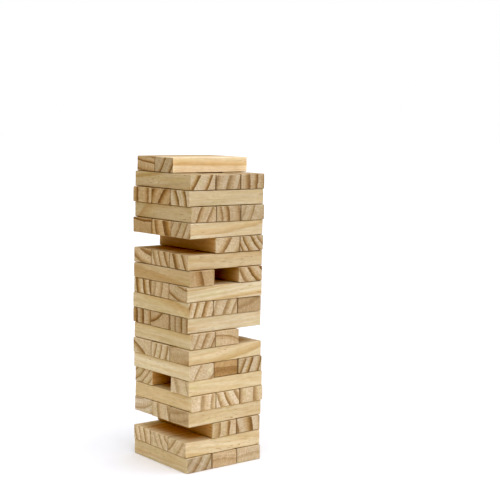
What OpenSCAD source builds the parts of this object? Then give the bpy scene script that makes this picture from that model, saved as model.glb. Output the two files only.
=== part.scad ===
// A tumbling tower game, part way through play: a square tower of plain wooden blocks.
// Three blocks lie side by side in a layer, and each layer lies across the one below it.
// Some blocks have been pushed out of the lower layers and two of them laid on top.
//
// Frame: the origin is the middle of the tower's footprint, on the surface it stands on,
// and +Z is up. Layers are counted from the ground. In the odd layers the blocks lie along
// Y and show their near ends on the -Y face; in the even layers they lie along X and show
// their near ends on the -X face. A block's place is left, middle or right as seen by a
// player who looks at its near end. Every block is a separate piece.

/* [Block] */
// Length of a block, which is also the side of the square tower
block_length = 76; // [45:1:200]
// Width of a block
block_width = 24.8; // [14.5:0.1:65]
// Thickness of a block
block_thickness = 12.5; // [7:0.1:34]
// Height and depth of the small flat broken along every edge
edge_break = 0.6; // [0.2:0.1:1.5]

/* [Tower] */
// Air between one layer and the next
layer_play = 0.02; // [0.02:0.01:0.1]
// How far the blocks lie from a squared-up tower: 0 is neat, 1 is as played
untidiness = 1; // [0:0.1:1]
// Narrowest seam between two blocks of a layer
least_seam = 0.2; // [0.1:0.1:0.5]

/* [Wood colours] */
// Palest blocks
pale_wood = "#E8CFA3";
// Blocks of middling tone
honey_wood = "#DDBD8B";
// Darkest blocks
tan_wood = "#D2AC79";

/* [Hidden] */
LEFT = -1;
MIDDLE = 0;
RIGHT = 1;
PLACE_NAMES = ["left", "middle", "right"];
TONES = [pale_wood, honey_wood, tan_wood];

// Height from the underside of one layer to the underside of the next
layer_pitch = block_thickness + layer_play;

// One row for each layer, from the ground up: its twist about Z in degrees, how far it has
// been knocked along X and along Y, and what the seams to the left and to the right of its
// middle block add to the narrowest seam
LAYERS = [
    [-1.5,  1.5,  0.5, 0.4, 0  ], // 1
    [-1.5,  1,    1,   0,   0  ],
    [ 0,    0,    0.5, 0,   0.4],
    [ 0.5,  1,    0.5, 0.4, 0  ],
    [ 1,    1.5, -0.5, 0,   0.4], // 5
    [-0.5,  1,   -0.5, 0,   0  ],
    [ 0.5,  0,   -0.5, 0.4, 0.4],
    [ 1,   -1,   -0.5, 0,   0  ],
    [ 1,    0,   -0.5, 0,   0  ],
    [ 0,    0,    1.5, 0,   0  ], // 10
    [ 0,   -1,    0.5, 0,   0.2],
    [-1,   -1,   -0.5, 0,   0  ],
    [ 0.5, -1.5, -1,   0,   0  ],
    [-0.5, -0.5,  0.5, 0,   0  ],
    [ 0,    0,    0,   0,   0  ], // 15
    [ 1.5, -1.5, -0.5, 0.4, 0  ],
    [ 0.5, -0.5, -0.5, 0,   0.4],
    [ 0,   -1,    0,   0,   0  ],
    [-0.5,  0.5,  0.5, 0.4, 0  ],
    [-0.5,  1.5, -0.5, 0,   0  ]  // 20
];

// Places with no block, as [layer, place]: five were pushed out, and the top one is not yet filled
EMPTY = [[3, LEFT], [6, MIDDLE], [9, RIGHT], [13, MIDDLE], [15, LEFT], [20, RIGHT]];

// Blocks that sit deeper in the tower than their neighbours (+) or stand out (-), as [layer, place, distance]
PUSHED = [[4, LEFT, 1], [7, MIDDLE, 1], [18, LEFT, -1]];

// Blocks sanded thinner than the others, which makes them loose, as [layer, place, how much thinner]
THIN = [[2, LEFT, 0.2], [8, MIDDLE, 0.2], [11, RIGHT, 0.2], [14, RIGHT, 0.2], [19, MIDDLE, 0.4]];

// What a list of [layer, place, value] rows says of one place, or 0
function value_at(rows, layer, place) =
    let (found = [for (row = rows) if (row[0] == layer && row[1] == place) row[2]])
    len(found) > 0 ? found[0] : 0;

function is_empty(layer, place) = len([for (row = EMPTY) if (row == [layer, place]) row]) > 0;

function block_name(layer, place) =
    str("layer", layer < 10 ? "0" : "", layer, "_", PLACE_NAMES[place + 1]);

// How far a block's middle lies to the right of its layer's middle
function place_offset(layer, place) =
    place * (block_width + least_seam + untidiness * LAYERS[layer - 1][place == LEFT ? 3 : 4]);

// The tones change from block to block and from layer to layer, with no two neighbours alike
function tone(layer, place) = TONES[(2 * layer + place + 1 + floor(layer / 4)) % len(TONES)];

BLOCKS = [
    for (layer = [1 : len(LAYERS)])
        for (place = [LEFT, MIDDLE, RIGHT])
            if (!is_empty(layer, place)) [layer, place]
];

// A rectangle about the origin with its four corners cut off
module broken_rectangle(width, height) {
    x = width / 2;
    y = height / 2;
    polygon([
        [-x + edge_break, -y], [x - edge_break, -y], [x, -y + edge_break], [x, y - edge_break],
        [x - edge_break, y], [-x + edge_break, y], [-x, y - edge_break], [-x, -y + edge_break]
    ]);
}

// One block, lying along Y on the plane z = 0, with all twelve edges broken
module block(thickness) {
    translate([0, 0, thickness / 2]) intersection() {
        linear_extrude(thickness, center = true) broken_rectangle(block_width, block_length);
        rotate([90, 0, 0])
            linear_extrude(block_length, center = true) broken_rectangle(block_width, thickness);
        rotate([90, 0, 90])
            linear_extrude(block_width, center = true) broken_rectangle(block_length, thickness);
    }
}

// A block where it lies in the tower
module placed_block(layer, place) {
    row = LAYERS[layer - 1];
    turned = layer % 2 == 0 ? -90 : 0;
    depth = untidiness * value_at(PUSHED, layer, place);
    thinner = untidiness * value_at(THIN, layer, place);
    color(tone(layer, place))
        translate([untidiness * row[1], untidiness * row[2], (layer - 1) * layer_pitch])
            rotate(turned + untidiness * row[0])
                translate([place_offset(layer, place), depth, 0])
                    block(block_thickness - thinner);
}

for (block = BLOCKS)
    placed_block(block[0], block[1]);
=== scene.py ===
import math
import random

import bpy
import numpy as np
from mathutils import Euler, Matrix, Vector, noise


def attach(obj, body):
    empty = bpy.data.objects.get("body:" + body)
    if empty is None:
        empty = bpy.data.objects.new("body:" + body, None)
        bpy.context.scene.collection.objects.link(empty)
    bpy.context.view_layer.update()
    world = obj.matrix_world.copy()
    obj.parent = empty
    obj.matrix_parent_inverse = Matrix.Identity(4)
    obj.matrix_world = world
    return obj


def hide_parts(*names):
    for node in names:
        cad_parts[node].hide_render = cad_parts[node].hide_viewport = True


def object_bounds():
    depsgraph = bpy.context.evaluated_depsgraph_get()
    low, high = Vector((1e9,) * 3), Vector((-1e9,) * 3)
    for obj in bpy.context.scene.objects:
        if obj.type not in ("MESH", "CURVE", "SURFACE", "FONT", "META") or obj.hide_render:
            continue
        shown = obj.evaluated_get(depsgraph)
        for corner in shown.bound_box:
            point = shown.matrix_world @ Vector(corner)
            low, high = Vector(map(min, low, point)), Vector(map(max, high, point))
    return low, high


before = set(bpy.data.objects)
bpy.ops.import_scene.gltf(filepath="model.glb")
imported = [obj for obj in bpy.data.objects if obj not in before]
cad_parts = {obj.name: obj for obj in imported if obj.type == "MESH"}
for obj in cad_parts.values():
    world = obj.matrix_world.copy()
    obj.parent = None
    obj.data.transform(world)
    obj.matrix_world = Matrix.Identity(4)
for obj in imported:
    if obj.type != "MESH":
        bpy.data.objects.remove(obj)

cad_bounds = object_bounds()

MM = 0.001

# Camera: an 85 mm lens on a 36 mm frame, looking at the tower's -X and -Y faces. Its heading, in
# degrees clockwise from +Y, its pitch and its roll were fitted to the photograph
CAMERA_PLACE = (-0.5929, -0.7617, 0.2817)
CAMERA_HEADING = 40.40
CAMERA_PITCH = -6.34
CAMERA_ROLL = 1.04
LENS_MM = 85
FRAME_MM = 36

# Picture: the contrast of the photograph
PICTURE_GAMMA = 0.85
PICTURE_BLACK = 0.022

# Studio: a very soft key light from the right of the picture, pale light from all round, and a
# white backdrop that only the camera sees. Angles are in degrees: where the key comes from,
# clockwise from +Y, its height, and how wide it is as seen from the tower
KEY_HEADING = 180
KEY_HEIGHT = 65
KEY_SPREAD = 110
KEY_STRENGTH = 3.1
KEY_COLOUR = (0.95, 1.0, 1.38)
AMBIENT_STRENGTH = 0.385
AMBIENT_COLOUR = (1.0, 1.0, 0.84)
BACKDROP_COLOUR = (1, 1, 1)
FLOOR_REACH = 12.0
FLOOR_COLOUR = (0.97, 0.95, 0.83)
FLOOR_ROUGHNESS = 0.7
FLOOR_MOTTLE_SCALE = 9
FLOOR_MOTTLE_FADE = (0.3, 0.7, 0.985, 1.0)

# Shape of a sanded block: the radius of its edges and how much sanding varied it, and a slight
# relief of its faces. A wave is the length of the noise that varies them; NOISE_START, times a
# block's seed, is where in that noise the block lies. The mesh has ARC_STEPS steps in half a
# rounding and steps of about GRID_STEP on a face
EDGE_RADIUS = 0.85 * MM
EDGE_VARIATION = 0.45
EDGE_WAVE = 9 * MM
FACE_RELIEF = 0.1 * MM
FACE_WAVE = 22 * MM
NOISE_START = (0.37, 0.71, 0.13)
ARC_STEPS = 3
GRID_STEP = 2.4 * MM

# Marks that a block's mesh carries for its material. A fade is the pair of values between which a
# mark goes from none to full: for ends, how far a point faces along the block; for edges, how far
# its normal is from square; for seams, how far it faces a block within SEAM_REACH. UPPER_SEAM is
# how much of the seam's shade the edge below a seam gets
END_FADE = (0.45, 0.85)
EDGE_FADE = (0.02, 0.3)
SEAM_FADE = (0.15, 0.75)
SEAM_REACH = 1.2 * MM
SEAM_MARGIN = SEAM_REACH / 4
UPPER_SEAM = 0.35

# Painted recess shade: the depth in the tower at which the wood starts to be painted darker and
# more orange, for the shade and the warm light bounced between the blocks, and where it is fully
# so. Flat faces do FLAT_DEPTH later, and upright faces with room of at least OPENING in front of
# them inside the tower WALL_DEPTH sooner. Where another block covers the wood, only COVERED_TINT
# of the painted shade is left, so that a block drawn out of the tower shows little of it
RECESS_SHADE_DEPTH = (3 * MM, 12 * MM)
FLAT_DEPTH = 4 * MM
WALL_DEPTH = 6 * MM
OPENING = 15 * MM
COVERED_TINT = 0.25
UPRIGHT = 0.5

# How each block was sawn. A row is one layer from the ground up, and holds its blocks from left to
# right. A block is (lean, pith, spacing, line, contrast, band, brightness, warmth):
#   lean        direction of the growth rings on the near end, in degrees from level, 90 is upright
#   pith        millimetres from the block's middle to the middle of the tree, square to the rings;
#               plus is to the left of them or above them, minus is to the right or below, for rings
#               that lean up to 90, and for more than 90 plus is to the left or below
#   spacing     millimetres between rings
#   line        millimetres from the block's middle to one dark ring, counted the same way as pith
#   contrast    how dark the late wood is, 1 is usual
#   band        how much of a ring's width is late wood, 0.5 is usual
#   brightness  1 is usual; it falls from the bottom of the tower to the top, which is painted shade
#   warmth      0 is usual, 1 is orange-brown, -1 is nearly white; it rises towards the top with that
#               painted shade
STOCK = (
    ((55, 80, 8, 0.4, 0.55, 0.5, 1.03, -0.15), (175, 60, 9, -1, 0.25, 0.5, 0.97, 0.35),
     (5, -70, 10, 1, 0.2, 0.5, 0.96, 0)),
    ((113, -60, 7.6, -3.7, 0.65, 0.5, 1.2, -0.1), (124, -50, 7, -1.7, 0.5, 0.5, 1.15, -0.1),
     (48, 40, 8, 4.7, 0.45, 0.4, 1.0, 0.0)),
    (None, (85, 80, 11.7, -5, 0.8, 0.5, 0.98, 0.15), (102, 70, 11, -3.4, 1.0, 0.6, 0.95, 0)),
    ((14, 60, 7.5, -2.7, 0.4, 0.5, 1.12, -0.5), (100, -80, 10.8, 4.1, 0.5, 0.5, 1.1, 0),
     (10, 70, 9, 3, 0.25, 0.5, 0.93, 0.15)),
    ((87, -80, 12, 2.5, 0.45, 0.7, 1.08, -0.05), (118, -55, 9.2, 1.6, 0.8, 0.6, 1.12, -0.3),
     (90, -90, 12.5, -2.2, 0.6, 0.5, 1.05, 0)),
    ((42, 50, 6, 2.5, 0.6, 0.5, 1.08, 0.1), None, (108, -70, 14, 4.8, 0.35, 0.5, 1.0, 0)),
    ((57, -70, 14, 4.2, 0.45, 0.35, 1.12, -0.35), (176, 90, 14, -0.6, 0.5, 1.0, 0.95, 0.9),
     (68, 70, 8.2, -0.5, 1.2, 0.55, 0.9, 0)),
    ((145, 60, 14, 2.4, 0.8, 0.25, 1.05, 0.15), (75, 80, 8, -1.5, 0.7, 0.5, 1.05, 0),
     (12, 60, 16, 7.5, 0.6, 0.5, 0.97, 0.05)),
    ((61, -70, 8.1, -0.3, 0.6, 0.5, 1.0, 0.0), (166, 90, 11, -1.9, 0.45, 0.4, 0.96, 0.35), None),
    ((90, 90, 10.8, -2.8, 1.3, 0.55, 0.93, 0.4), (33, 35, 14, 2.3, 0.9, 0.3, 0.91, 0.6),
     (91, 90, 7.3, -4.8, 0.8, 0.45, 0.97, -0.3)),
    ((72, -60, 8.3, 5.2, 0.9, 0.5, 0.98, 0), (66, -80, 9.5, 0.3, 0.5, 0.6, 0.93, 0.05),
     (20, 60, 12, 0, 0.2, 0.5, 0.8, 0.6)),
    ((101, -60, 9.3, -1.7, 1.1, 0.6, 1.06, 0.2), (82, 60, 11, -3, 0.5, 0.5, 1.0, 0.35),
     (163, -60, 12, 5, 0.8, 0.25, 0.96, -0.3)),
    ((105, 60, 14.5, 0, 0.7, 0.45, 0.9, 0.5), None, (131, -40, 8.3, -0.4, 1.0, 0.55, 0.94, 0.2)),
    ((157, -45, 13, -4.2, 0.8, 0.6, 1.05, 0.3), (112, -60, 7.2, 1.4, 0.75, 0.55, 1.0, 0.3),
     (115, -60, 10, 5.9, 0.95, 0.5, 0.88, 0.3)),
    (None, (58, 60, 13, 0, 0.7, 0.4, 0.93, 0.15), (124, -35, 6.2, -2.1, 1.0, 0.55, 0.88, 0.05)),
    ((176, -60, 12, -4, 1.1, 0.3, 0.85, 0.9), (107, -45, 9.4, -3.6, 1.2, 0.75, 1.02, 0.6),
     (63, 70, 7, -5.3, 0.65, 0.45, 0.95, -0.3)),
    ((66, -80, 11.4, 5, 0.7, 0.45, 0.84, 0.4), (98, 60, 8, -0.7, 0.75, 0.55, 0.83, 0.3),
     (70, 70, 13, -0.4, 0.5, 0.4, 0.84, 0.1)),
    ((90, 90, 12.5, 5.5, 0.9, 0.5, 0.93, 0.7), (54, -50, 12, 0, 1.0, 0.5, 0.92, 0.8),
     (112, 50, 10.7, 1.9, 1.0, 0.5, 0.85, 0)),
    ((61, 80, 10.8, 5.5, 1.0, 0.4, 0.84, 0.35), (78, -70, 10.5, 0.5, 0.5, 0.6, 0.84, 0.1),
     (90, 90, 8.5, 3, 0.7, 0.65, 0.82, 0.25)),
    ((170, -90, 6.6, -1.5, 0.8, 0.45, 0.93, 0.65),
     (58, 60, 11.2, 0.85, 1.0, 0.25, 1.27, -0.35), None),
)

# How the rings run along the blocks whose long sides show most: (climb, bow). Climb is in degrees,
# plus where the rings come nearer to the pith further in; bow is the bend of the trunk in
# millimetres. For the other blocks both are drawn, up to the usual amount either way. Where in the
# trunk a block was cut is drawn too, up to TRUNK_REACH millimetres either way
FIGURE = {
    "layer20_middle": (0.5, 0), "layer19_left": (3, 0.2), "layer18_right": (1, 0),
    "layer17_left": (8, -5), "layer16_right": (-2, 0), "layer14_right": (1.6, -0.2),
    "layer13_left": (1.3, 0), "layer12_right": (-3, 0), "layer11_left": (3, 0),
    "layer10_right": (-1.5, 0), "layer09_left": (0.6, 0), "layer08_right": (1.5, -2.5),
    "layer07_left": (1, 0), "layer05_left": (-4, 0.3), "layer02_right": (4, 0),
    "layer01_left": (1, 0),
}
USUAL_CLIMB = 2
USUAL_BOW = 1
TRUNK_REACH = 900

# Blocks whose ends are given another brightness and warmth than their sides: (times brightness,
# more warmth)
END_TONE = {
    "layer20_middle": (0.655, 0.7), "layer19_left": (1.07, -0.3), "layer18_right": (1.14, 0),
    "layer17_left": (1.04, -0.15), "layer16_right": (0.94, 0.65), "layer14_right": (1.1, 0.05),
    "layer13_left": (0.93, 0.2), "layer12_right": (0.98, 0.65), "layer10_right": (0.88, 0.75),
    "layer09_left": (0.9, 0.2), "layer08_right": (0.97, 0.4), "layer07_left": (0.89, 0.3),
    "layer06_right": (1.1, 0), "layer04_right": (1, 0.3), "layer02_right": (1.1, 0.15),
    "layer01_left": (0.8, 0.05),
}
USUAL_TONE = (1, 0)

# Each block has a chance, a number from 0 to 1, that sets where its noises start: this step times
# its seed, less the whole part
CHANCE_STEP = 0.173

# Linear colours of pine along the grain and on the sawn ends, from early to late wood in a ring
SIDE_EARLY = (0.695, 0.580, 0.370)
SIDE_HONEY = (0.625, 0.455, 0.205)
SIDE_LATE = (0.490, 0.300, 0.100)
FLECK = (0.330, 0.190, 0.060)
END_EARLY = (0.620, 0.505, 0.331)
END_HONEY = (0.478, 0.313, 0.125)
END_LATE = (0.246, 0.138, 0.042)

# Tints, which multiply those colours
WARM_TINT = (0.86, 0.66, 0.40)
WHITE_TINT = (1.00, 1.07, 1.28)
ROSE_TINT = (1.03, 0.93, 0.88)
OLIVE_TINT = (0.93, 1.00, 0.80)
# Painted shade and warm bounced light for wood deep inside the tower
RECESS_SHADE_TINT = (0.92, 0.70, 0.46)
SEAM_SHADE = (0.26, 0.16, 0.08)
DEEP_SHADE = (0.80, 0.72, 0.56)
PALE_SHADE = (1.12, 1.12, 1.10)

# Noises in the wood: waves per millimetre across the trunk and along it, detail, roughness
WOOD_NOISES = {
    "slow": (0.035, 0.010, 1, 0.5), "quick": (0.16, 0.018, 2, 0.5), "ragged": (0.7, 0.03, 2, 0.6),
    "fibre": (2.0, 0.05, 3, 0.6), "streak": (0.5, 0.012, 2, 0.5), "mottle": (0.5, 0.13, 2, 0.6),
    "specks": (1.2, 0.5, 3, 0.8), "cloud": (0.07, 0.02, 2, 0.5), "stain": (0.13, 0.035, 2, 0.6),
    "canal": (1.7, 0.17, 0, 0.5),
}

# Growth rings: how many millimetres each noise bends them, how uneven their widths are, the number
# of the ring that a block is marked with, far enough from 0 for the rings inside it, and where in
# that ring its dark line is. A ring's width, strength and fine bands come from noise along a line,
# at these steps from ring to ring; the start, times a block's chance, is where its line starts
RING_BENDS = (("slow", 4.0), ("quick", 1.4), ("ragged", 0.9))
RING_UNEVENNESS = 0.6
MARKED_RING = 50
DARK_LINE = 0.93
WIDTH_STEP, WIDTH_START = 0.6, 90
STRENGTH_STEP, STRENGTH_START = 7.31, 500
BAND_STEP, BAND_START = 5, 50

# A fade of two numbers is where a value starts to show and where it shows in full; with four, the
# last two are what the fade gives at those places instead of 0 and 1

# How strong each ring is, and where in a ring the dark wood stops
STRENGTH_FADE = (0.3, 0.7, 0.65, 1.05)
RING_STOP = (0.95, 1.0, 1.0, 0.0)

# Where in a ring late wood, and the honey zone that leads up to it, begin and are full: in bands,
# counted from the end of the ring. The power makes late wood set in more slowly
HONEY_ZONE = (-1.3, -0.4)
LATE_ZONE = (-0.76, -0.2)
LATE_POWER = 1.2

# How much of the honey and late colours the sides show; the ends show them in full
SIDE_HONEY_SHARE, SIDE_LATE_SHARE = 0.7, 0.6

# Streaks on the sides, resin canals there and the clusters that they come in, and stains
STREAK_FADE = (0.38, 0.72, 0.0, 0.5)
CANAL_FADE = (0.69, 0.77)
CLUSTER_FADE = (0.45, 0.62, 0.15, 0.65)
ROSE_FADE = (0.52, 0.75, 0.0, 0.25)
OLIVE_FADE = (0.48, 0.25, 0.0, 0.45)

# How much of its tint warm wood takes; how far edges turn pale, as sanded wood and as a painted
# highlight; and how far seams take their painted shade
WARM_SHARE = 0.75
EDGE_SHARE = 0.4
SEAM_SHARE = 0.9

# Rays on the ends: waves per millimetre round the pith and out from it
RAYS_ROUND, RAYS_OUT = 1.3, 0.16

# How much each noise lightens or darkens the wood: everywhere, and on the ends as well
SHADES = {"cloud": 0.7, "fibre": 0.8, "mottle": 0.7, "bands": 0.5}
END_SHADES = {"rays": 1.2, "specks": -1.8, "mottle": 0.6}

# Surface: the roughness, what late wood, ends and fibres add to it, and the bump that they make
ROUGHNESS = 0.66
LATE_ROUGHNESS, END_ROUGHNESS, FIBRE_ROUGHNESS = -0.12, 0.14, 0.08
SPECULAR_LEVEL = 0.3
FIBRE_HEIGHT, LATE_HEIGHT, SPECK_HEIGHT = 0.6, 0.4, -0.6
BUMP_STRENGTH = 0.35
BUMP_DEPTH = 0.12 * MM


def block_name(layer, place):
    return f"layer{layer:02d}_{('left', 'middle', 'right')[place]}"


def placing(name):
    """A block's middle, its right, forward and up directions, and its half sizes along them, all
    read from the CAD node. Forward goes in from the near end; right is that of a player who looks
    at that end."""
    corners = np.unique(np.round([v.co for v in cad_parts[name].data.vertices], 7), axis=0)
    middle = (corners.min(0) + corners.max(0)) / 2
    spread, directions = np.linalg.eigh(np.cov((corners - middle)[:, :2].T))
    along = directions[:, spread.argmax()]
    along = along * np.sign(along.sum())
    forward = Vector((along[0], along[1], 0))
    up = Vector((0, 0, 1))
    right = forward.cross(up)
    half = [abs((corners - middle) @ np.array(axis)).max() for axis in (right, forward, up)]
    return Vector(middle), (right, forward, up), half


def steps_along(half):
    """Grid lines across a side of a rounded block: close together in the rounding, even between."""
    turn = math.radians(45) / ARC_STEPS
    arc = [EDGE_RADIUS * math.tan(turn * k) for k in range(1, ARC_STEPS + 1)]
    flat = half - EDGE_RADIUS
    count = max(2, round(2 * flat / GRID_STEP))
    inner = [-flat + 2 * flat * k / count for k in range(count + 1)]
    return [-flat - a for a in reversed(arc)] + inner + [flat + a for a in arc]


def block_shape(half, seed):
    """Points, outward normals and faces of one sanded block about its own middle. A smaller box,
    the core, lies inside it, and each point stands off that by the radius of the edges there."""
    lines = [steps_along(h) for h in half]
    counts = [len(line) for line in lines]
    index = {}
    points = []
    normals = []
    faces = []
    start = Vector([seed * step for step in NOISE_START])

    def point_at(key):
        if key in index:
            return index[key]
        raw = Vector([lines[axis][key[axis]] for axis in range(3)])
        wave = noise.noise((raw + start) / EDGE_WAVE)
        radius = EDGE_RADIUS * (1 + EDGE_VARIATION * wave)
        shrink = [max(h - radius, 0) for h in half]

        # Stretch the grid here, so that the block keeps its size whatever the radius is
        scaled = []
        for c, h, s in zip(raw, half, shrink):
            if abs(c) <= h - EDGE_RADIUS:
                scaled.append(c * s / (h - EDGE_RADIUS))
            else:
                past = (abs(c) - h + EDGE_RADIUS) * radius / EDGE_RADIUS
                scaled.append(math.copysign(s + past, c))
        core = Vector([max(-s, min(s, c)) for c, s in zip(scaled, shrink)])
        outward = (Vector(scaled) - core).normalized()
        relief = FACE_RELIEF * (noise.noise((raw + start) / FACE_WAVE) - 1)
        index[key] = len(points)
        points.append(core + outward * (radius + relief))
        normals.append(outward)
        return index[key]

    for axis in range(3):
        first, second = [a for a in range(3) if a != axis]
        for end in (0, counts[axis] - 1):
            for i in range(counts[first] - 1):
                for j in range(counts[second] - 1):
                    corners = []
                    for di, dj in ((0, 0), (1, 0), (1, 1), (0, 1)):
                        key = [0, 0, 0]
                        key[axis] = end
                        key[first] = i + di
                        key[second] = j + dj
                        corners.append(point_at(tuple(key)))
                    outward = (end > 0) == (axis != 1)
                    faces.append(corners if outward else corners[::-1])
    return points, normals, faces


def grain_coordinates(name, points, half_length, cut, seed):
    """Where each point of a block was in the tree, in millimetres: two coordinates across the
    trunk, measured from its pith, and one along it. The second result is a point on its dark
    ring."""
    lean, pith, _, line = cut[:4]
    angle = math.radians(lean)
    to_pith = Vector((-math.sin(angle), 0, math.cos(angle)))
    chance = random.Random(seed)
    usual = (chance.uniform(-USUAL_CLIMB, USUAL_CLIMB), chance.uniform(-USUAL_BOW, USUAL_BOW))
    climb, bow = FIGURE.get(name, usual)
    start = chance.uniform(-TRUNK_REACH, TRUNK_REACH)
    places = []

    # Depth is 0 at the near end and 2 at the far end; shift is how far the rings have moved there
    for point in points:
        depth = 1 + point.y / half_length
        shift = half_length / MM * depth * math.tan(math.radians(climb)) + bow * depth * depth
        across = point / MM - to_pith * pith * (1 - shift / abs(pith))
        places.append((across.x, across.z, point.y / MM + start))
    ring = to_pith * (line - pith)
    return places, (ring.x, ring.z, start - half_length / MM)


def add_attribute(mesh, name, kind, values):
    attribute = mesh.attributes.new(name, kind, "POINT")
    key = "value" if kind == "FLOAT" else "vector"
    attribute.data.foreach_set(key, np.array(values, np.float32).ravel())


def smooth(low, high, value):
    t = min(max((value - low) / (high - low), 0), 1)
    return t * t * (3 - 2 * t)


def contact(points, normals, name):
    """How far each point is in the seam between its block and one that it lies against, and how
    far that block covers it."""
    seam = np.zeros(len(points))
    covered = np.zeros(len(points))
    right, _, up = blocks[name][1]
    for axis in (right, up):
        facing = normals @ np.array(axis)
        weight = np.where((facing > 0) & (axis is up), UPPER_SEAM, 1)
        reach = points + np.outer(np.sign(facing) * SEAM_REACH, axis)
        for other, (middle, axes, half) in blocks.items():
            if other != name:
                local = (reach - np.array(middle)) @ np.array(axes).T
                touching = (np.abs(local) < np.array(half) + SEAM_MARGIN).all(1)
                covered = np.maximum(covered, touching * np.abs(facing))
                seam = np.maximum(seam, touching * np.abs(facing) * weight)
    return seam, covered


def recess_shade(point, normal):
    """How far inside the tower a point is, as a mask of painted shade: there the wood is painted
    darker and more orange, for the shade and the warm light bounced between the blocks."""
    low, high = cad_bounds

    def inset(place):
        return min(place.x - low[0], high[0] - place.x, place.y - low[1], high[1] - place.y)

    depth = min(inset(point), roof - point.z) - FLAT_DEPTH * abs(normal.z)
    if abs(normal.z) < UPRIGHT and inset(point + normal * OPENING) > 0:
        depth += WALL_DEPTH
    return smooth(*RECESS_SHADE_DEPTH, depth)


def mark_mesh(mesh, name, cut, half_length, seed, local, placed):
    """Write what the material needs at each point of a block's mesh. Local and placed are the
    points and normals in the block's own frame and in the tower's."""
    _, _, spacing, _, contrast, band, brightness, warmth = cut
    points, normals = local
    size = len(points)
    grain, dark_ring = grain_coordinates(name, points, half_length, cut, seed)
    add_attribute(mesh, "grain", "FLOAT_VECTOR", grain)
    add_attribute(mesh, "dark_ring", "FLOAT_VECTOR", [dark_ring] * size)
    add_attribute(mesh, "rings", "FLOAT_VECTOR", [(spacing, contrast, band)] * size)
    ends = [smooth(*END_FADE, abs(n.y)) for n in normals]
    shade, warmer = END_TONE.get(name, USUAL_TONE)
    chance = seed * CHANCE_STEP % 1
    add_attribute(mesh, "tone", "FLOAT_VECTOR",
                  [(brightness * (1 + (shade - 1) * e), warmth + warmer * e, chance) for e in ends])
    add_attribute(mesh, "end_grain", "FLOAT", ends)
    add_attribute(mesh, "edge", "FLOAT",
                  [smooth(*EDGE_FADE, 1 - max(abs(c) for c in n)) for n in normals])
    seam, covered = contact(*(np.array(part) for part in placed), name)
    add_attribute(mesh, "seam", "FLOAT", [smooth(*SEAM_FADE, value) for value in seam])
    # Painted shade deep inside the tower, weaker where another block covers the wood
    add_attribute(mesh, "recess_shade", "FLOAT",
                  [recess_shade(p, n) * (1 + (COVERED_TINT - 1) * c)
                   for p, n, c in zip(*placed, covered)])


def make_block(layer, place, cut, material, seed):
    name = block_name(layer, place)
    middle, axes, half = blocks[name]
    points, normals, faces = block_shape(half, seed)

    def turned(vector):
        return axes[0] * vector.x + axes[1] * vector.y + axes[2] * vector.z

    placed = [middle + turned(p) for p in points], [turned(n) for n in normals]
    mesh = bpy.data.meshes.new(f"{name}_wood")
    mesh.from_pydata(placed[0], [], faces)
    mesh.polygons.foreach_set("use_smooth", [True] * len(mesh.polygons))
    mesh.normals_split_custom_set_from_vertices(placed[1])
    mark_mesh(mesh, name, cut, half[1], seed, (points, normals), placed)
    piece = bpy.data.objects.new(f"{name}_wood", mesh)
    bpy.context.scene.collection.objects.link(piece)
    piece.data.materials.append(material)
    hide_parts(name)
    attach(piece, name)


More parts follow.
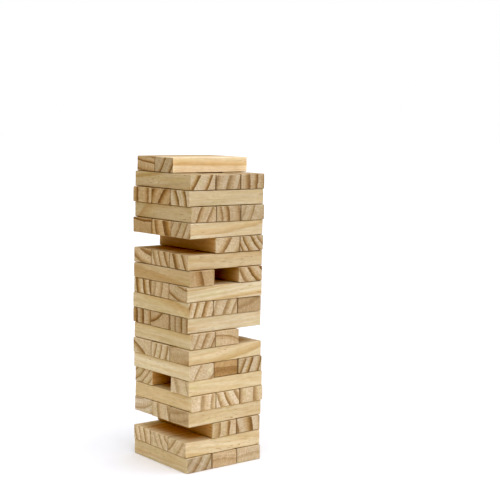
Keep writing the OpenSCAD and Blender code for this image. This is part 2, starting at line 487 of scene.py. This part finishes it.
class Graph:
    """A material's node tree, with a short call for each kind of node that the wood needs."""

    def __init__(self, name):
        self.material = bpy.data.materials.new(name)
        self.material.use_nodes = True
        self.tree = self.material.node_tree
        self.shader = self.tree.nodes["Principled BSDF"]

    def feed(self, socket, value):
        if isinstance(value, bpy.types.NodeSocket):
            self.tree.links.new(value, socket)
        else:
            socket.default_value = value

    def attribute(self, name):
        node = self.tree.nodes.new("ShaderNodeAttribute")
        node.attribute_name = name
        return node.outputs["Vector"], node.outputs["Fac"]

    def split(self, vector):
        node = self.tree.nodes.new("ShaderNodeSeparateXYZ")
        self.feed(node.inputs[0], vector)
        return node.outputs

    def join(self, x, y, z):
        node = self.tree.nodes.new("ShaderNodeCombineXYZ")
        for socket, value in zip(node.inputs, (x, y, z)):
            self.feed(socket, value)
        return node.outputs[0]

    def math(self, operation, *values, clamp=False):
        node = self.tree.nodes.new("ShaderNodeMath")
        node.operation = operation
        node.use_clamp = clamp
        for socket, value in zip(node.inputs, values):
            self.feed(socket, value)
        return node.outputs[0]

    def product(self, first, second, clamp=False):
        return self.math("MULTIPLY", first, second, clamp=clamp)

    def weighted(self, start, *terms):
        """Start plus each noise's swing about its middle value, 0.5, times a weight."""
        total = start
        for value, weight in terms:
            total = self.math("ADD", total, self.product(self.math("SUBTRACT", value, 0.5), weight))
        return total

    def length(self, vector):
        node = self.tree.nodes.new("ShaderNodeVectorMath")
        node.operation = "LENGTH"
        self.feed(node.inputs[0], vector)
        return node.outputs["Value"]

    def scaled(self, vector, factors):
        node = self.tree.nodes.new("ShaderNodeVectorMath")
        node.operation = "MULTIPLY"
        self.feed(node.inputs[0], vector)
        node.inputs[1].default_value = factors
        return node.outputs[0]

    def noise(self, vector, scale=1, detail=2, roughness=0.5):
        node = self.tree.nodes.new("ShaderNodeTexNoise")
        self.feed(node.inputs["Vector"], vector)
        node.inputs["Scale"].default_value = scale
        node.inputs["Detail"].default_value = detail
        node.inputs["Roughness"].default_value = roughness
        return node.outputs["Fac"]

    def noise_along(self, value, detail=0):
        node = self.tree.nodes.new("ShaderNodeTexNoise")
        node.noise_dimensions = "1D"
        self.feed(node.inputs["W"], value)
        node.inputs["Scale"].default_value = 1
        node.inputs["Detail"].default_value = detail
        return node.outputs["Fac"]

    def fade(self, value, low, high, start=0.0, end=1.0):
        node = self.tree.nodes.new("ShaderNodeMapRange")
        node.interpolation_type = "SMOOTHSTEP"
        for socket, number in zip(node.inputs[:5], (value, low, high, start, end)):
            self.feed(socket, number)
        return node.outputs[0]

    def mix(self, factor, first, second, blend="MIX"):
        """Blend two colours, each a socket or three numbers. A colour mix node has its two colours
        at inputs 6 and 7 and its result at output 2."""
        node = self.tree.nodes.new("ShaderNodeMix")
        node.data_type = "RGBA"
        node.blend_type = blend
        self.feed(node.inputs["Factor"], factor)
        for socket, colour in zip(node.inputs[6:8], (first, second)):
            self.feed(socket, colour if isinstance(colour, bpy.types.NodeSocket) else (*colour, 1))
        return node.outputs[2]

    def tinted(self, colour, tint, factor=1.0):
        """Multiply a colour by a tint, as far as the factor says."""
        full = self.mix(1.0, colour, tint, "MULTIPLY")
        return full if factor == 1.0 else self.mix(factor, colour, full)

    def grey(self, value):
        return self.join(value, value, value)

    def bump(self, height, strength, distance):
        node = self.tree.nodes.new("ShaderNodeBump")
        node.inputs["Strength"].default_value = strength
        node.inputs["Distance"].default_value = distance
        self.feed(node.inputs["Height"], height)
        return node.outputs[0]


def pine():
    """The wood of every block. Each block's mesh says where it was in its tree, so that its rings
    and fibres run through it from face to face."""
    g = Graph("sanded_pine")
    grain, _ = g.attribute("grain")
    dark_ring, _ = g.attribute("dark_ring")
    spacing, contrast, band = g.split(g.attribute("rings")[0])
    brightness, warmth, chance = g.split(g.attribute("tone")[0])
    end = g.attribute("end_grain")[1]
    edge = g.attribute("edge")[1]
    seam = g.attribute("seam")[1]
    inner = g.attribute("recess_shade")[1]
    across, high, _ = g.split(grain)

    def wood_noise(kind, place=grain):
        across_scale, along_scale, detail, roughness = WOOD_NOISES[kind]
        scales = (across_scale, across_scale, along_scale)
        return g.noise(g.scaled(place, scales), detail=detail, roughness=roughness)

    # Growth rings: distance from the pith, bent by slow waves along the trunk. The dark ring that a
    # block is marked with stays where it is marked
    def bent_radius(place):
        return g.weighted(g.length(g.scaled(place, (1, 1, 0))),
                          *((wood_noise(kind, place), bend) for kind, bend in RING_BENDS))

    def on_line(place, step, start, detail=0):
        line = g.math("ADD", g.product(place, step), g.product(chance, start))
        return g.noise_along(line, detail)

    radius = bent_radius(grain)
    ring_radius = bent_radius(dark_ring)
    count = g.math("DIVIDE", g.math("SUBTRACT", radius, ring_radius), spacing)
    uneven = g.math("SUBTRACT", on_line(count, WIDTH_STEP, WIDTH_START),
                    on_line(0.0, WIDTH_STEP, WIDTH_START))
    count = g.math("ADD", g.math("ADD", count, g.product(uneven, RING_UNEVENNESS)),
                   MARKED_RING + DARK_LINE)
    phase = g.math("FRACT", count)
    number = g.math("FLOOR", count)

    # Some rings are faint, but never the marked one. Late wood fills the last part of a ring, its
    # band, and stops sharply where the next ring begins; a paler honey zone leads up to it
    strength = on_line(number, STRENGTH_STEP, STRENGTH_START)
    strength = g.math("MAXIMUM", g.fade(strength, *STRENGTH_FADE),
                      g.math("COMPARE", number, MARKED_RING, 0.5))
    strength = g.product(strength, contrast)
    stop = g.fade(phase, *RING_STOP)

    def zone(first, last):
        return g.fade(phase, *(g.math("MULTIPLY_ADD", band, share, 1) for share in (first, last)))

    honey = g.product(g.product(zone(*HONEY_ZONE), stop), strength, clamp=True)
    late = g.math("POWER", zone(*LATE_ZONE), LATE_POWER)
    late = g.product(g.product(late, stop), strength, clamp=True)

    # Fibres and resin canals run along the trunk. On the ends fibres show as fine specks, crossed
    # by rays from the pith
    noises = {kind: wood_noise(kind)
              for kind in ("fibre", "streak", "mottle", "specks", "cloud", "stain", "canal")}
    noises["bands"] = on_line(count, BAND_STEP, BAND_START, detail=1)
    turn = g.product(g.math("ARCTAN2", high, across), ring_radius)
    polar = g.join(g.product(turn, RAYS_ROUND), g.product(radius, RAYS_OUT), chance)
    noises["rays"] = g.noise(polar, detail=2, roughness=0.6)
    canal = g.product(g.fade(noises["canal"], *CANAL_FADE),
                      g.fade(noises["cloud"], *CLUSTER_FADE))

    side = g.mix(g.product(honey, SIDE_HONEY_SHARE), SIDE_EARLY, SIDE_HONEY)
    side = g.mix(g.product(late, SIDE_LATE_SHARE), side, SIDE_LATE)
    side = g.mix(g.fade(noises["streak"], *STREAK_FADE), side, SIDE_HONEY)
    side = g.mix(canal, side, FLECK)
    sawn = g.mix(honey, END_EARLY, END_HONEY)
    sawn = g.mix(late, sawn, END_LATE)
    wood = g.mix(end, side, sawn)
    wood = g.tinted(wood, ROSE_TINT, g.fade(noises["stain"], *ROSE_FADE))
    wood = g.tinted(wood, OLIVE_TINT, g.fade(noises["stain"], *OLIVE_FADE))
    wood = g.tinted(wood, WARM_TINT, g.product(warmth, WARM_SHARE, clamp=True))
    wood = g.tinted(wood, WHITE_TINT, g.product(warmth, -1, clamp=True))
    # Paler edges: partly sanded wood, partly a painted highlight along the edges
    wood = g.mix(g.product(edge, EDGE_SHARE), wood, SIDE_EARLY)
    # Painted shade in the seams where blocks lie against each other, weaker on the edges below a
    # seam
    wood = g.tinted(wood, SEAM_SHADE, g.product(g.product(seam, edge), SEAM_SHARE))
    # Painted shade: wood deep inside the tower is darkened and turned orange
    wood = g.tinted(wood, RECESS_SHADE_TINT, inner)

    # Small differences of shade: darker wood is also a deeper colour
    shade = g.weighted(0.5, *((noises[kind], weight) for kind, weight in SHADES.items()))
    end_shade = g.weighted(0, *((noises[kind], weight) for kind, weight in END_SHADES.items()))
    shade = g.math("ADD", shade, g.product(end, end_shade))
    wood = g.tinted(wood, g.mix(shade, DEEP_SHADE, PALE_SHADE))
    # The block's brightness, which towards the top of the tower is partly painted shade
    g.feed(g.shader.inputs["Base Color"], g.tinted(wood, g.grey(brightness)))

    rough = g.math("ADD", ROUGHNESS, g.product(late, LATE_ROUGHNESS))
    rough = g.math("ADD", rough, g.product(end, END_ROUGHNESS))
    rough = g.math("ADD", rough, g.product(noises["fibre"], FIBRE_ROUGHNESS))
    g.feed(g.shader.inputs["Roughness"], rough)
    g.shader.inputs["Specular IOR Level"].default_value = SPECULAR_LEVEL
    height = g.math("ADD", g.product(noises["fibre"], FIBRE_HEIGHT), g.product(late, LATE_HEIGHT))
    height = g.math("ADD", height, g.product(g.product(noises["specks"], end), SPECK_HEIGHT))
    g.feed(g.shader.inputs["Normal"], g.bump(height, BUMP_STRENGTH, BUMP_DEPTH))
    return g.material


def floor_material():
    """One pale colour with a faint unevenness, so that the floor doesn't look computed."""
    g = Graph("pale_floor")
    place = g.tree.nodes.new("ShaderNodeTexCoord").outputs["Object"]
    mottle = g.noise(place, scale=FLOOR_MOTTLE_SCALE, detail=3)
    mottle = g.fade(mottle, *FLOOR_MOTTLE_FADE)
    g.feed(g.shader.inputs["Base Color"], g.mix(1.0, FLOOR_COLOUR, g.grey(mottle), "MULTIPLY"))
    g.shader.inputs["Roughness"].default_value = FLOOR_ROUGHNESS
    return g.material


def make_floor():
    reach = FLOOR_REACH
    corners = [(-reach, -reach, 0), (reach, -reach, 0), (reach, reach, 0), (-reach, reach, 0)]
    mesh = bpy.data.meshes.new("studio_floor")
    mesh.from_pydata(corners, [], [(0, 1, 2, 3)])
    floor = bpy.data.objects.new("studio_floor", mesh)
    bpy.context.scene.collection.objects.link(floor)
    floor.data.materials.append(floor_material())


def make_key_light():
    """A distant, very wide light."""
    data = bpy.data.lights.new("key", "SUN")
    data.energy = KEY_STRENGTH
    data.angle = math.radians(KEY_SPREAD)
    data.color = KEY_COLOUR
    lamp = bpy.data.objects.new("key", data)
    turn, rise = math.radians(KEY_HEADING), math.radians(KEY_HEIGHT)
    level = math.cos(rise)
    source = Vector((math.sin(turn) * level, math.cos(turn) * level, math.sin(rise)))
    lamp.rotation_euler = source.to_track_quat("Z", "Y").to_euler()
    bpy.context.scene.collection.objects.link(lamp)


def make_world():
    """Pale light from all round, in front of which the camera sees a white backdrop."""
    world = bpy.data.worlds.new("studio")
    world.use_nodes = True
    tree = world.node_tree
    ambient = tree.nodes["Background"]
    ambient.inputs["Color"].default_value = (*AMBIENT_COLOUR, 1)
    ambient.inputs["Strength"].default_value = AMBIENT_STRENGTH
    backdrop = tree.nodes.new("ShaderNodeBackground")
    backdrop.inputs["Color"].default_value = (*BACKDROP_COLOUR, 1)
    switch = tree.nodes.new("ShaderNodeMixShader")
    tree.links.new(tree.nodes.new("ShaderNodeLightPath").outputs["Is Camera Ray"], switch.inputs[0])
    tree.links.new(ambient.outputs[0], switch.inputs[1])
    tree.links.new(backdrop.outputs[0], switch.inputs[2])
    tree.links.new(switch.outputs[0], tree.nodes["World Output"].inputs["Surface"])
    bpy.context.scene.world = world


def set_tones(view):
    """A photograph's contrast: deep shadows, and white that stays white."""
    view.view_transform = "Standard"
    view.gamma = PICTURE_GAMMA
    view.use_curve_mapping = True
    view.curve_mapping.black_level = (PICTURE_BLACK,) * 3
    view.curve_mapping.update()


def make_camera():
    data = bpy.data.cameras.new("camera")
    data.lens = LENS_MM
    data.sensor_width = FRAME_MM
    camera = bpy.data.objects.new("camera", data)
    camera.location = CAMERA_PLACE
    turn = Euler((0, 0, math.radians(-CAMERA_HEADING))).to_matrix()
    tilt = Euler((math.radians(90 + CAMERA_PITCH), 0, 0)).to_matrix()
    roll = Euler((0, 0, math.radians(CAMERA_ROLL))).to_matrix()
    camera.rotation_euler = (turn @ tilt @ roll).to_euler()
    bpy.context.scene.collection.objects.link(camera)
    bpy.context.scene.camera = camera


# Every block's place, directions and half sizes, and the height of the tower's roof, on which its
# topmost blocks lie
blocks = {name: placing(name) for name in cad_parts}
roof = max(middle.z - half[2] for middle, _, half in blocks.values())

set_tones(bpy.context.scene.view_settings)
make_camera()
make_key_light()
make_world()
make_floor()

wood = pine()
for layer, row in enumerate(STOCK, start=1):
    for place, cut in enumerate(row):
        if cut is not None:
            make_block(layer, place, cut, wood, seed=3 * layer + place)
